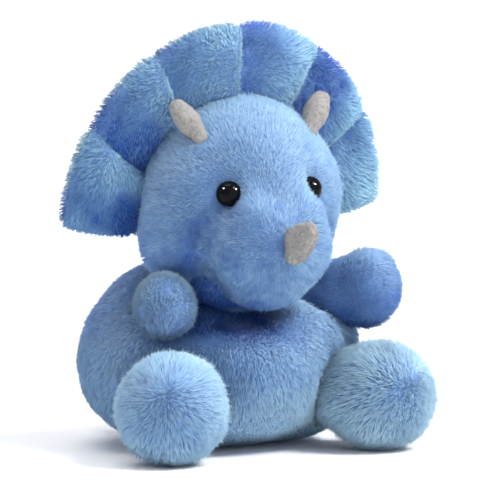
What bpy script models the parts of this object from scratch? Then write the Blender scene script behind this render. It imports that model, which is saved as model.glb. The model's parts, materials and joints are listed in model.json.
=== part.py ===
"""Stuffed dinosaur, sitting: a bean-filled plush body with a pleated neck frill and three felt horns.

All sizes are in millimetres and are turned into metres by MM. Z is up and the face looks along -Y.
Depths (Y) in the size tables are measured from the frill, and place() moves the middle of the toy's
footprint onto the origin.
"""

import math

import bmesh
import bpy
import numpy as np
from mathutils import Matrix, Vector

MM = 0.001
FRILL_TO_MIDDLE = 11.8      # the footprint's middle lies this far behind the frill

# Fabric
PLUSH = 1.5                 # plush cover: backing with half of its pile
FELT = 0.8                  # horn suede
GAP = 0.35                  # between two pieces that touch
BLEND = 14                  # how tightly two lobes of a soft form blend

# Head: skull, cheeks, muzzle and the two temples, as centre and radii
SKULL = ((0, 1.5, 78), (28.6, 26.0, 28.0))
CHEEKS = ((0, 1.0, 65.2), (30.2, 24.5, 17.0))
MUZZLE = ((0, -13.5, 61.8), (21.0, 19.0, 17.7))
TEMPLE_LEFT = ((13.0, -3.0, 76.0), (18.3, 15.5, 17.5))
TEMPLE_RIGHT = ((-13.0, -3.0, 76.0), (18.3, 15.5, 17.5))
HEAD_LOBES = (SKULL, CHEEKS, MUZZLE, TEMPLE_LEFT, TEMPLE_RIGHT)
HEAD_HEART = (0, -3, 70)
HEAD_CENTRE = (0, 0, 78)

# Eyes: domes on shanks, each held by a washer inside the cover
EYE_AIM = (14.6, -16.0, 8.8)        # direction from the head's heart, left side
EYE_RADIUS = 4.0
EYE_HEIGHT = 3.0
SHANK_RADIUS = 1.1
SHANK_LENGTH = 6.0
WASHER_RADIUS = 4.6
WASHER_THICK = 1.0
EYE_DENT = 3.6
EYE_DENT_SPREAD = 7.2
EYE_LEVEL = 0.4             # how much of the aim's rise the eye itself keeps
EYE_FLANGE = 0.4            # the eye's flat back lies this far below its seat
SEAT_TOP = 6.0              # how far the holes' cutters reach out of the head

# Horns: base centre, tip, base radius, tip radius (left brow horn and nose horn)
BROW_HORN = ((18.2, -9.0, 94.2), (25.4, -4.8, 106.4), 3.1, 2.7)
NOSE_HORN = ((0.7, -30.4, 63.0), (1.4, -41.6, 69.4), 4.8, 2.8)
HORN_ROOT = 4.0             # how far a horn's turned shape starts below its base centre
HORN_BELLY = (1.2, 0.42)   # its fullness, as a share of its mean radius, and how far up it lies

# Neck: a rolled wad with a ball in the head and a stem in the body
NECK_PIVOT = (0, 4, 60)
NECK_BALL = 10.5
NECK_STEM = 7.0
NECK_FOOT_Z = 31.0
NECK_FLARE = 3.2            # room round the stem at the head's neck opening
NECK_MOUTH_TIGHT = 1.2      # the same room at the top of that opening
NECK_MOUTH_REACH = 3.0      # how far the opening's cutter passes the head's skin, and stops below the pivot
CHIN_ROOM = 4.0             # space between the head and the body

# Body sections: height, half width, half depth, middle
BODY_SECTIONS = (
    (0.0, 21.0, 16.5, 20.5),
    (2.5, 28.0, 23.0, 18.0),
    (8.0, 36.0, 32.5, 15.0),
    (16.0, 41.6, 38.4, 13.5),
    (26.0, 43.5, 39.8, 13.5),
    (35.0, 42.0, 36.8, 13.2),
    (43.0, 36.6, 30.6, 13.0),
    (50.0, 31.4, 24.8, 13.2),
    (56.5, 26.4, 19.4, 13.6),
    (61.5, 21.0, 14.6, 13.6),
    (64.5, 12.0, 8.6, 13.4),
)

# Pellet bag in the seat
BAG_CENTRE = (0, 17.0, 10.4)
BAG_RADII = (22.0, 17.0, 8.5)
BAG_CLOTH = 0.6
BAG_NECK = 4.0
BAG_NECK_REACH = (-3.0, 1.0)        # the bag's filling neck, from its top

# Arms: shoulder, paw centre, shoulder radius, paw radius. The two arms rest in different places.
ARM_LEFT = ((24.5, 4, 44.6), (39.2, -7.4, 46.4), 7.8, 11.2)
ARM_RIGHT = ((-24.5, 4, 45.0), (-30.4, -9.8, 44.6), 7.6, 9.8)
ARM_SWING = (-5, 20)        # degrees, outward is positive
ARM_ROOM = 1.2

# Legs: hip, foot centre, hip radius, foot radius. They rest a little apart from each other's mirror image.
LEG_LEFT = ((27.5, -11.0, 16.6), (36.0, -22.2, 16.1), 10.5, 16.4)
LEG_RIGHT = ((-27.5, -11.0, 16.6), (-35.4, -22.5, 16.4), 10.5, 16.8)
LEG_SPREAD = (-8, 8)
LEG_ROOM = 1.2
SWEEP_STEPS = 4             # angles at which a limb's room is drawn

# Tail: root, tip centre, root radius, tip radius
TAIL = ((0, 47.5, 13.0), (0, 61.0, 11.5), 8.0, 5.0)
TAIL_WAG = (-12, 12)
TAIL_ROOM = 1.2

ROOT_MOUTH = 0.62           # opening of a limb's cover, as a share of its root radius

# Frill: a fan of two plush layers over wadding, about the head's centre
FRILL_SPAN = 99             # degrees from the top to each tip, at the rim
FRILL_DROOP = 14            # the lower edge drops by this many more degrees where it meets the head
FRILL_PLEATS = 6
FRILL_RIM = 48.9
FRILL_TIP_REACH = 4.2       # how much further out the tips reach than the top
FRILL_TOP_Y = 0.6
FRILL_SWEEP = 12.4          # how far the sides sweep back
FRILL_LEAN = 1.6            # the fan's foot stands this far behind its rim
FRILL_LOFT = 1.9            # half thickness of the wadding between two pleats
FRILL_CREASE = 0.9          # half thickness of the wadding in a pleat's fold
FRILL_SHEET = 1.2
FRILL_SCALLOP = 1.0
FRILL_FOOT_GAP = 0.95
FRILL_CHEEK_ROOM = 4.0      # how much further out the fan's foot stands at the cheeks
FRILL_STEPS = 4             # steps across a pleat
FRILL_RISES = (0.0, 0.25, 0.5, 0.78, 1.0)      # rows of the fan, foot to rim
FRILL_WADDING_FOOT = 0.02
FRILL_WADDING_RIM = 0.92
FRILL_RIM_HALF = 2.3        # half thickness of the rolled rim

# Care label, blank, sewn in beside the tail
LABEL = (9.0, 0.5, 13.0)
LABEL_SPOT = (-18.2, 53.6, 12.5)
LABEL_TURN = -28

PLUSH_BLUE = (0.30, 0.47, 0.76)
FRILL_BLUE = (0.20, 0.36, 0.64)
HORN_GREY = (0.52, 0.50, 0.47)
EYE_BLACK = (0.012, 0.011, 0.014)
FIBRE_WHITE = (0.86, 0.87, 0.88)
BAG_WHITE = (0.80, 0.79, 0.76)
PELLET_CLEAR = (0.72, 0.72, 0.70)
WASHER_BLACK = (0.05, 0.05, 0.055)
LABEL_WHITE = (0.90, 0.90, 0.89)


def place(x, y, z):
    """A point of the size tables, in metres in the toy's frame."""
    return Vector((x, y - FRILL_TO_MIDDLE, z)) * MM


def mirrored(point):
    return (-point[0], point[1], point[2])


def clear_scene():
    for old in list(bpy.data.objects):
        bpy.data.objects.remove(old, do_unlink=True)


def new_collection(name):
    collection = bpy.data.collections.new(name)
    bpy.context.scene.collection.children.link(collection)
    return collection


def material(name, colour, roughness):
    made = bpy.data.materials.new(name)
    made.use_nodes = True
    shader = made.node_tree.nodes["Principled BSDF"]
    shader.inputs["Base Color"].default_value = (*colour, 1)
    shader.inputs["Roughness"].default_value = roughness
    shader.inputs["Metallic"].default_value = 0
    return made


def add_object(name, bm, collection):
    bmesh.ops.recalc_face_normals(bm, faces=bm.faces)
    mesh = bpy.data.meshes.new(name)
    bm.to_mesh(mesh)
    bm.free()
    mesh.shade_smooth()
    made = bpy.data.objects.new(name, mesh)
    collection.objects.link(made)
    return made


def part(name, bm, look):
    """A piece of the toy, with a material of its own."""
    made = add_object(name, bm, PARTS)
    colour, roughness = look
    made.data.materials.append(material(name + "_material", colour, roughness))
    return made


def cutter(name, bm):
    made = add_object(name, bm, CUTTERS)
    made.hide_render = True
    made.display_type = "WIRE"
    return made


def cut(target, *tools):
    for tool in tools:
        boolean = target.modifiers.new("cut_" + tool.name, "BOOLEAN")
        boolean.operation = "DIFFERENCE"
        boolean.solver = "EXACT"
        boolean.object = tool


def exit_distance(start, way, lobe, grow):
    """How far a ray from start runs before it leaves an ellipsoid, or 0 if it misses."""
    centre, radii = lobe
    scale = np.array(radii, float) + grow
    offset = (np.array(start, float) - np.array(centre, float)) / scale
    step = np.array(way) / scale
    a = step @ step
    b = offset @ step
    c = offset @ offset - 1
    inside = b * b - a * c
    if inside < 0:
        return 0.0
    return max(0.0, (math.sqrt(inside) - b) / a)


def surface_point(heart, way, lobes, grow, dents):
    """Where a ray from the heart meets the lobes' blended surface, in table millimetres."""
    way = np.array(way, float) / np.linalg.norm(way)
    reach = sum(exit_distance(heart, way, lobe, grow) ** BLEND for lobe in lobes) ** (1 / BLEND)
    point = np.array(heart, float) + way * reach
    for spot, depth, spread in dents:
        point = point - way * depth * math.exp(-((np.linalg.norm(point - spot) / spread) ** 2))
    return point


def soft_form(heart, lobes, grow=0.0, segments=24, rings=14, dents=(), floor=None):
    """A closed soft form: a sphere whose points are moved out to the lobes' blended surface."""
    bm = bmesh.new()
    bmesh.ops.create_uvsphere(bm, u_segments=segments, v_segments=rings, radius=1)
    for vert in bm.verts:
        x, y, z = surface_point(heart, vert.co, lobes, grow, dents)
        if floor is not None:
            z = max(z, floor)
        vert.co = place(x, y, z)
    bmesh.ops.triangulate(bm, faces=bm.faces, quad_method="FIXED")
    return bm


def head_form(grow, segments=24, rings=14):
    dents = [(surface_point(HEAD_HEART, aim, HEAD_LOBES, grow, ()), EYE_DENT, EYE_DENT_SPREAD)
             for aim in (EYE_AIM, mirrored(EYE_AIM))]
    return soft_form(HEAD_HEART, HEAD_LOBES, grow, segments, rings, dents)


def limb_lobes(limb):
    """A limb's balls: at its root, halfway and at its tip."""
    root, tip, root_radius, tip_radius = limb
    halfway = tuple((np.array(root, float) + np.array(tip, float)) / 2)
    return (
        (root, (root_radius,) * 3),
        (halfway, ((root_radius + tip_radius) / 2,) * 3),
        (tip, (tip_radius,) * 3),
    )


def limb_form(limb, grow, segments=14, rings=9, floor=None):
    """A short stuffed limb: its balls blended into one."""
    lobes = limb_lobes(limb)
    return soft_form(lobes[1][0], lobes, grow, segments, rings, (), floor)


def swung(limb, degrees):
    """A limb turned about the upright line through its root."""
    root = Vector(limb[0])
    tip = Matrix.Rotation(math.radians(degrees), 3, "Z") @ (Vector(limb[1]) - root) + root
    return limb[0], tuple(tip), limb[2], limb[3]


def sweep_form(limb, low, high, grow):
    """The room a limb sweeps between two angles, as one blended form."""
    lobes = list(limb_lobes(limb))
    for i in range(SWEEP_STEPS):
        lobes.extend(limb_lobes(swung(limb, low + (high - low) * i / (SWEEP_STEPS - 1)))[1:])
    return soft_form(lobes[1][0], lobes, grow, 14, 9)


def ball_form(centre, radius, segments=16, rings=10):
    return soft_form(centre, ((centre, (radius,) * 3),), 0.0, segments, rings)


def body_form(inset, segments=24):
    """The pear-shaped body, lofted through its sections, flat underneath."""
    top = BODY_SECTIONS[-1][0]
    bm = bmesh.new()
    loops = []
    for height, half_width, half_depth, middle in BODY_SECTIONS:
        z = inset + height * (top - 2 * inset) / top
        loop = []
        for i in range(segments):
            angle = 2 * math.pi * i / segments
            x = (half_width - inset) * math.cos(angle)
            y = middle + (half_depth - inset) * math.sin(angle)
            loop.append(bm.verts.new(place(x, y, z)))
        loops.append(loop)
    for low, high in zip(loops, loops[1:]):
        for i in range(segments):
            j = (i + 1) % segments
            bm.faces.new((low[i], low[j], high[j], high[i]))
    bmesh.ops.triangulate(bm, faces=bm.faces, quad_method="FIXED")
    bm.faces.new(loops[0])
    bm.faces.new(loops[-1])
    return bm


def upright_cone(spot, low_z, high_z, low_radius, high_radius, segments=20):
    """A cone or cylinder standing on an upright axis through a table point."""
    bm = bmesh.new()
    bmesh.ops.create_cone(
        bm, cap_ends=True, segments=segments, radius1=low_radius * MM, radius2=high_radius * MM,
        depth=(high_z - low_z) * MM)
    bmesh.ops.translate(bm, verts=bm.verts, vec=place(spot[0], spot[1], (low_z + high_z) / 2))
    return bm


def aimed(origin, way):
    """The matrix that puts a shape's own +Z along way, at origin, both in table millimetres."""
    turn = Vector(way).to_track_quat("Z", "Y").to_matrix().to_4x4()
    return Matrix.Translation(place(*origin)) @ turn


def turned(name, profile, matrix, look, steps=16, closed=False):
    """A turned piece: a profile (radius, height), top to bottom, swept by a Screw modifier."""
    bm = bmesh.new()
    verts = [bm.verts.new(Vector((radius, 0, height)) * MM) for radius, height in profile]
    for a, b in zip(verts, verts[1:]):
        bm.edges.new((a, b))
    if closed:
        bm.edges.new((verts[-1], verts[0]))
    mesh = bpy.data.meshes.new(name)
    bm.to_mesh(mesh)
    bm.free()
    made = bpy.data.objects.new(name, mesh)
    made.matrix_world = matrix
    screw = made.modifiers.new("turn", "SCREW")
    screw.axis = "Z"
    screw.steps = steps
    screw.render_steps = steps
    screw.use_smooth_shade = True
    screw.use_merge_vertices = True
    screw.merge_threshold = 0.00001
    if look is None:
        CUTTERS.objects.link(made)
        made.hide_render = True
        made.display_type = "WIRE"
    else:
        PARTS.objects.link(made)
        mesh.materials.append(material(name + "_material", *look))
    return made


def cylinder_profile(radius, low, high):
    return ((0, high), (radius, high), (radius, low), (0, low))


# Head -----------------------------------------------------------------------------------------

def build_head():
    cover = part("head_cover", head_form(0.0), (PLUSH_BLUE, 0.95))
    stuffing = part("head_stuffing", head_form(-PLUSH - GAP, 16, 10), (FIBRE_WHITE, 1.0))
    hollow = cutter("head_hollow", head_form(-PLUSH, 16, 10))
    chin_z = CHEEKS[0][2] - CHEEKS[1][2]
    mouth = cutter("head_neck_mouth", upright_cone(
        NECK_PIVOT, chin_z - NECK_MOUTH_REACH, NECK_PIVOT[2] - NECK_MOUTH_REACH,
        NECK_STEM + NECK_FLARE, NECK_STEM + NECK_MOUTH_TIGHT))
    socket = cutter("head_neck_socket", ball_form(NECK_PIVOT, NECK_BALL + 2 * GAP, 14, 8))
    cut(cover, hollow, mouth)
    cut(stuffing, socket, mouth)
    for side, aim in (("left", EYE_AIM), ("right", mirrored(EYE_AIM))):
        build_eye(side, aim, cover, stuffing)


def build_eye(side, aim, cover, stuffing):
    rim = surface_point(HEAD_HEART, aim, HEAD_LOBES, 0.0, ())
    seat = surface_point(HEAD_HEART, aim, HEAD_LOBES, 0.0, ((rim, EYE_DENT, EYE_DENT_SPREAD),))
    way = Vector(aim)
    way.z *= EYE_LEVEL
    matrix = aimed(tuple(seat), way)
    dome = [(EYE_RADIUS * math.sin(math.radians(a)), EYE_HEIGHT * math.cos(math.radians(a)))
            for a in (0, 22, 45, 68, 90)]
    shank = [(EYE_RADIUS, -EYE_FLANGE), (SHANK_RADIUS, -EYE_FLANGE),
             (SHANK_RADIUS, -SHANK_LENGTH), (0, -SHANK_LENGTH)]
    turned("eye_" + side, dome + shank, matrix, (EYE_BLACK, 0.08), 14)
    back = -EYE_FLANGE - GAP - PLUSH
    end = back - WASHER_THICK
    inner = SHANK_RADIUS + GAP
    ring = ((inner, back), (WASHER_RADIUS, back), (WASHER_RADIUS, end), (inner, end))
    turned("eye_washer_" + side, ring, matrix, (WASHER_BLACK, 0.5), 12, closed=True)

    def bore(name, radius, low, high, steps):
        return turned(name + side, cylinder_profile(radius, low, high), matrix, None, steps)

    seat_cut = bore("eye_seat_", EYE_RADIUS + GAP, -EYE_FLANGE - GAP, SEAT_TOP, 20)
    hole = bore("eye_hole_", inner, -SHANK_LENGTH - GAP, SEAT_TOP, 12)
    pocket = bore("washer_room_", WASHER_RADIUS + GAP, end - GAP, back + GAP, 16)
    pit = bore("washer_pit_", WASHER_RADIUS + 2 * GAP, end - GAP, SEAT_TOP, 16)
    shaft = bore("shank_pit_", inner + GAP, -SHANK_LENGTH - GAP, back, 12)
    cut(cover, seat_cut, hole, pocket)
    cut(stuffing, pit, shaft)


def horn_profile(length, base, tip, inset):
    """A blunt cone from its rounded tip down to its root."""
    blunt = tip - inset
    cap = [(blunt * math.sin(math.radians(a)), length - tip + blunt * math.cos(math.radians(a)))
           for a in (0, 25, 50, 75)]
    fullness, height = HORN_BELLY
    belly = ((base + tip) / 2 * fullness - inset, length * height)
    return cap + [belly, (base - inset, 0), (base - inset, -HORN_ROOT), (0, -HORN_ROOT)]


def build_horn(name, horn, shell_of_head):
    base, tip, base_radius, tip_radius = horn
    way = Vector(tip) - Vector(base)
    matrix = aimed(base, way)

    def layer(label, inset, look, steps):
        return turned(label, horn_profile(way.length, base_radius, tip_radius, inset), matrix, look, steps)

    cover = layer(name, 0, (HORN_GREY, 0.85), 12)
    cut(cover, layer(name + "_hollow", FELT, None, 12), shell_of_head)
    cut(layer(name + "_filling", FELT + GAP, (FIBRE_WHITE, 1.0), 10), shell_of_head)


def build_horns():
    clearance = cutter("head_skin_clearance", head_form(GAP))
    left = BROW_HORN
    right = (mirrored(left[0]), mirrored(left[1]), left[2], left[3])
    build_horn("brow_horn_left", left, clearance)
    build_horn("brow_horn_right", right, clearance)
    build_horn("nose_horn", NOSE_HORN, clearance)


# Frill ----------------------------------------------------------------------------------------

def frill_spot(turn, rise, offset):
    """A point of the fan, offset in depth from its middle surface.

    turn runs from -1 to 1, tip to tip, and rise from 0 at the foot, on the head, to 1 at the rim."""
    span = FRILL_SPAN + FRILL_DROOP * (1 - rise)
    angle = math.radians(turn * span)
    sweep = 1 - math.cos(math.radians(turn * FRILL_SPAN))
    y = FRILL_TOP_Y + FRILL_SWEEP * sweep + FRILL_LEAN * (1 - rise) + offset
    foot_reach = SKULL[1][0] + FRILL_FOOT_GAP + FRILL_CHEEK_ROOM * turn ** 4
    foot = math.sqrt(foot_reach ** 2 - y ** 2)
    pleat = abs(math.sin(math.pi * FRILL_PLEATS * (turn + 1) / 2))
    rim = FRILL_RIM + FRILL_TIP_REACH * abs(turn) ** 3 - FRILL_SCALLOP * (1 - pleat ** 0.6)
    reach = foot + (rim - foot) * rise
    return reach * math.sin(angle), y, HEAD_CENTRE[2] + reach * math.cos(angle)


def frill_loft(turn, rise):
    """Half the wadding's thickness: full between pleats and along the rim, thin in the folds."""
    pleat = abs(math.sin(math.pi * FRILL_PLEATS * (turn + 1) / 2)) ** 0.7
    return (FRILL_CREASE + (FRILL_LOFT - FRILL_CREASE) * pleat) * (0.8 + 0.35 * rise)


def frill_inner(turn, rise):
    """Where a plush layer's inside lies: on the wadding, and on the other layer along the rim."""
    return GAP / 2 if rise == 1 else frill_loft(turn, rise) + GAP / 2


def frill_outer(turn, rise):
    return FRILL_RIM_HALF if rise == 1 else frill_loft(turn, rise) + GAP / 2 + FRILL_SHEET


def forward(offset):
    """The same offset, in front of the fan's middle surface."""
    return lambda turn, rise: -offset(turn, rise)


def frill_core(turn, rise):
    """The wadding's own half thickness, which thins out short of the rim seam."""
    return (frill_loft(turn, rise) - GAP / 2) * (1 if rise <= FRILL_RISES[-2] else 0.3)


def frill_sheet(name, front, back, rises, look):
    """A closed layer of the fan between two offsets from its middle surface."""
    columns = FRILL_PLEATS * FRILL_STEPS
    rows = len(rises) - 1
    bm = bmesh.new()
    sides = []
    for offset in (front, back):
        grid = []
        for i in range(columns + 1):
            turn = 2 * i / columns - 1
            spots = [frill_spot(turn, rise, offset(turn, rise)) for rise in rises]
            grid.append([bm.verts.new(place(*spot)) for spot in spots])
        sides.append(grid)
    near, far = sides
    for grid in sides:
        for i in range(columns):
            for j in range(rows):
                bm.faces.new((grid[i][j], grid[i + 1][j], grid[i + 1][j + 1], grid[i][j + 1]))
    for i in range(columns):
        for j in (0, rows):
            bm.faces.new((near[i][j], near[i + 1][j], far[i + 1][j], far[i][j]))
    for j in range(rows):
        for i in (0, columns):
            bm.faces.new((near[i][j], near[i][j + 1], far[i][j + 1], far[i][j]))
    bmesh.ops.triangulate(bm, faces=bm.faces, quad_method="FIXED")
    return part(name, bm, look)


def build_frill():
    wadding_rises = (FRILL_WADDING_FOOT,) + FRILL_RISES[1:-1] + (FRILL_WADDING_RIM,)
    frill_sheet("frill_front", forward(frill_outer), forward(frill_inner), FRILL_RISES, (FRILL_BLUE, 0.95))
    frill_sheet("frill_back", frill_inner, frill_outer, FRILL_RISES, (FRILL_BLUE, 0.95))
    frill_sheet("frill_wadding", forward(frill_core), frill_core, wadding_rises, (FIBRE_WHITE, 1.0))


# Body -----------------------------------------------------------------------------------------

def build_body():
    cover = part("body_cover", body_form(0.0), (PLUSH_BLUE, 0.95))
    stuffing = part("body_stuffing", body_form(PLUSH + GAP, 18), (FIBRE_WHITE, 1.0))
    hollow = cutter("body_hollow", body_form(PLUSH, 18))
    cut(hollow, cutter("chin_room_lined", head_form(CHIN_ROOM + PLUSH, 14, 10)))
    cut(cover, cutter("chin_room", head_form(CHIN_ROOM + GAP, 18, 12)))
    cut(stuffing, cutter("chin_room_stuffing", head_form(CHIN_ROOM + PLUSH + GAP, 14, 10)))
    limbs = (
        ("arm_left", ARM_LEFT, ARM_SWING, ARM_ROOM),
        ("arm_right", ARM_RIGHT, (-ARM_SWING[1], -ARM_SWING[0]), ARM_ROOM),
        ("leg_left", LEG_LEFT, LEG_SPREAD, LEG_ROOM),
        ("leg_right", LEG_RIGHT, LEG_SPREAD, LEG_ROOM),
        ("tail", TAIL, TAIL_WAG, TAIL_ROOM),
    )
    for name, limb, (low, high), room in limbs:
        lined = cutter(name + "_room_lined", sweep_form(limb, low, high, room + PLUSH))
        cut(hollow, lined)
        cut(cover, cutter(name + "_room", sweep_form(limb, low, high, room)))
        cut(stuffing, cutter(name + "_room_stuffing", sweep_form(limb, low, high, room + PLUSH + GAP)))
        floor = 0.0 if name.startswith("leg") else None
        build_limb(name, limb, floor)
    stem_hole = cutter("stem_hole", upright_cone(
        NECK_PIVOT, NECK_FOOT_Z - GAP, NECK_PIVOT[2] - NECK_STEM, NECK_STEM + GAP, NECK_STEM + GAP))
    cut(cover, hollow, stem_hole)
    cut(stuffing, stem_hole, cutter("pellet_bag_room", pellet_form(GAP)))
    build_pellets()
    build_neck()
    build_label(cover)


def build_limb(name, limb, floor):
    """A limb's plush cover, open at its root, and the stuffing in it."""
    root, tip, root_radius, _ = limb
    inward = Vector(root) - Vector(tip)
    mouth_spot = Vector(root) + inward.normalized() * root_radius
    cover = part(name + "_cover", limb_form(limb, 0.0, floor=floor), (PLUSH_BLUE, 0.95))
    inner_floor = None if floor is None else floor + PLUSH
    hollow = cutter(name + "_hollow", limb_form(limb, -PLUSH, 12, 7, inner_floor))
    mouth = cutter(name + "_mouth", ball_form(tuple(mouth_spot), root_radius * ROOT_MOUTH, 8, 6))
    cut(cover, hollow, mouth)
    stuffing_floor = None if floor is None else inner_floor + GAP
    part(name + "_stuffing", limb_form(limb, -PLUSH - GAP, 12, 7, stuffing_floor), (FIBRE_WHITE, 1.0))


def pellet_form(grow, segments=14, rings=8):
    return soft_form(BAG_CENTRE, ((BAG_CENTRE, BAG_RADII),), grow, segments, rings)


def build_pellets():
    bag = part("pellet_bag", pellet_form(0.0), (BAG_WHITE, 0.9))
    hollow = cutter("pellet_bag_hollow", pellet_form(-BAG_CLOTH))
    top = BAG_CENTRE[2] + BAG_RADII[2]
    low, high = BAG_NECK_REACH
    neck = cutter("pellet_bag_neck", upright_cone(
        BAG_CENTRE, top + low, top + high, BAG_NECK, BAG_NECK, 12))
    cut(bag, hollow, neck)
    part("pellet_fill", pellet_form(-BAG_CLOTH - GAP), (PELLET_CLEAR, 0.4))


def build_neck():
    """The neck's rolled wad: a ball in the head on a stem that reaches down into the body."""
    angles = (0, 25, 50, 75, 100, 125)
    ball = [(NECK_BALL * math.sin(math.radians(a)), NECK_BALL * math.cos(math.radians(a))) for a in angles]
    foot = NECK_FOOT_Z - NECK_PIVOT[2]
    join = -math.sqrt(NECK_BALL ** 2 - NECK_STEM ** 2)
    stem = [(NECK_STEM, join), (NECK_STEM, foot), (0, foot)]
    turned("neck_stuffing", ball + stem, aimed(NECK_PIVOT, (0, 0, 1)), (FIBRE_WHITE, 1.0), 14)


def build_label(cover):
    """A blank folded satin label that stands out of the seam beside the tail, in a slit of the cover."""

    def block(grow):
        bm = bmesh.new()
        bmesh.ops.create_cube(bm, size=1)
        wide, thick, tall = (side + grow for side in LABEL)
        bmesh.ops.scale(bm, vec=Vector((thick, wide, tall)) * MM, verts=bm.verts)
        turn = Matrix.Rotation(math.radians(LABEL_TURN), 4, "Z")
        bmesh.ops.transform(bm, matrix=Matrix.Translation(place(*LABEL_SPOT)) @ turn, verts=bm.verts)
        return bm

    part("care_label", block(0), (LABEL_WHITE, 0.6))
    cut(cover, cutter("label_slit", block(2 * GAP)))


clear_scene()
PARTS = new_collection("stuffed_dinosaur")
CUTTERS = new_collection("cutters")
build_body()
build_head()
build_horns()
build_frill()
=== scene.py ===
import json
import math

import bmesh
import bpy
import numpy as np
from mathutils import Matrix, Vector
from mathutils.bvhtree import BVHTree
from mathutils.kdtree import KDTree


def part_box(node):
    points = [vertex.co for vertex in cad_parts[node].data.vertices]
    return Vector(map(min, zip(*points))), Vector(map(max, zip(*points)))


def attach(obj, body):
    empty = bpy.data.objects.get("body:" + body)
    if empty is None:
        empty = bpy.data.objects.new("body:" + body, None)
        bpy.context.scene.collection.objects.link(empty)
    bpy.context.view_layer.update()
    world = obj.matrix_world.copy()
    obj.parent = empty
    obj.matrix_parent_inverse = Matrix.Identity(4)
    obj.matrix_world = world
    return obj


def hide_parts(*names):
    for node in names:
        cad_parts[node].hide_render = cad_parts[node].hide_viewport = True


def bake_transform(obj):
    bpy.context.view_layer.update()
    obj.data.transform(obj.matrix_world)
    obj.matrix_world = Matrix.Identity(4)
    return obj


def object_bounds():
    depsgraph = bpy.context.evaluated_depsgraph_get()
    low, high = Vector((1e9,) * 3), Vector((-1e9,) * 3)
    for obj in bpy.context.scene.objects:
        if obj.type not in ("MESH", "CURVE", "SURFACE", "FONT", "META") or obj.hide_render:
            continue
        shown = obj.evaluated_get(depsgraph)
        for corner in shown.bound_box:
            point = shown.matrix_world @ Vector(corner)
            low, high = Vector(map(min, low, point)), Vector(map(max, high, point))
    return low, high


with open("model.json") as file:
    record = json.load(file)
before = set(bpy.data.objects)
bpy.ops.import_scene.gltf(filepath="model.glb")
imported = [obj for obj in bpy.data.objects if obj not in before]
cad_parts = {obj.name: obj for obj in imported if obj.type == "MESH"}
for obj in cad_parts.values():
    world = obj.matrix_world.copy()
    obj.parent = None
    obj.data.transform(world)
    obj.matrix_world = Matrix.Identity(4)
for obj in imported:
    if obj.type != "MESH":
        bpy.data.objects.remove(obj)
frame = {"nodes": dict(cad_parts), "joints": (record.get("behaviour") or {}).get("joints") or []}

# A stuffed dinosaur, sitting. Sizes below are in millimetres unless they say otherwise.
MM = 0.001
CAD_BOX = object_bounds()
NODES = frame["nodes"]


def pivot(name):
    """Where a joint turns, in metres."""
    return next(Vector(joint["pos_m"]) for joint in frame["joints"] if joint["name"] == name)


def middle(node):
    low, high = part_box(node)
    return (low + high) / 2


HEAD_CENTRE = pivot("frill_tilt")
HEAD_HEART = HEAD_CENTRE + Vector((0, -3, -8)) * MM
BODY_HEART = middle("body_cover") + Vector((0, 0, -8)) * MM

# Fibres
BURY = 0.35                 # how deep a fibre starts below the backing
FLOOR_GAP = 0.15            # no fibre's tip is lower than this
STRAYS = 0.09               # the share of fibres that stand out of the pile
FIBRE_TAPER = 0.82          # a fibre's width halfway up, as a share of its width at the root
LEAST_SLANT, MOST_SLANT = 0.05, 1.36      # radians from upright
STRAND_FACES = np.array((
    (0, 2, 1),
    (0, 1, 4), (0, 4, 3), (1, 2, 5), (1, 5, 4), (2, 0, 3), (2, 3, 5),
    (3, 4, 6), (4, 5, 6), (5, 3, 6),
))
STRAND_RISE = (0, 0, 0, 0.5, 0.5, 0.5, 1)      # how far along its fibre each of a strand's points is
MOST_STRANDS = 19500        # in one piece

# Stuffing
SIM_SCALE = 10              # the cloth is worked this much larger, where its springs behave as cloth does
SIM_STEPS = 20
SKIN_GAP = 0.15             # a skin that rests on the floor goes no lower than this


# Numbers and noise -----------------------------------------

def unit(a):
    return a / np.maximum(np.linalg.norm(a, axis=-1, keepdims=True), 1e-12)


def lattice(cells, seed):
    """A repeatable number from 0 to 1 for each whole-numbered cell."""
    x, y, z = (cells[..., i].astype(np.uint64) for i in range(3))
    h = x * np.uint64(73856093) ^ y * np.uint64(19349663) ^ z * np.uint64(83492791)
    h = h ^ np.uint64(seed * 2654435761)
    h = (h ^ (h >> np.uint64(15))) * np.uint64(2246822519)
    h = (h ^ (h >> np.uint64(13))) * np.uint64(3266489917)
    return ((h ^ (h >> np.uint64(16))) & np.uint64(0xFFFFFF)).astype(float) / 0xFFFFFF


def noise(points, size, seed):
    """Smooth noise from -1 to 1 over points, with features of that size."""
    at = points / size + 4096.0
    low = np.floor(at)
    f = at - low
    f = f * f * (3 - 2 * f)
    total = np.zeros(len(points))
    for dx in (0, 1):
        for dy in (0, 1):
            for dz in (0, 1):
                corner = lattice(low + np.array((dx, dy, dz)), seed)
                weight = (
                    (f[:, 0] if dx else 1 - f[:, 0])
                    * (f[:, 1] if dy else 1 - f[:, 1])
                    * (f[:, 2] if dz else 1 - f[:, 2])
                )
                total += corner * weight
    return total * 2 - 1


def swirl(points, size, seed):
    """A smooth field of vectors."""
    return np.stack([noise(points, size, seed + i) for i in range(3)], axis=1)


def smooth_step(x, low, high):
    t = np.clip((x - low) / (high - low), 0, 1)
    return t * t * (3 - 2 * t)


# Meshes ----------------------------------------------------

def coords(mesh):
    co = np.zeros(len(mesh.vertices) * 3)
    mesh.vertices.foreach_get("co", co)
    return co.reshape(-1, 3)


def set_coords(mesh, co):
    mesh.vertices.foreach_set("co", co.astype(np.float32).ravel())
    mesh.update()


def normals_of(mesh):
    normals = np.zeros(len(mesh.vertices) * 3)
    mesh.vertices.foreach_get("normal", normals)
    return normals.reshape(-1, 3)


def surface_tree(mesh):
    """What rays are cast at, to find a mesh's surface."""
    mesh.calc_loop_triangles()
    return BVHTree.FromPolygons(
        [v.co.copy() for v in mesh.vertices], [tuple(t.vertices) for t in mesh.loop_triangles])


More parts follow.
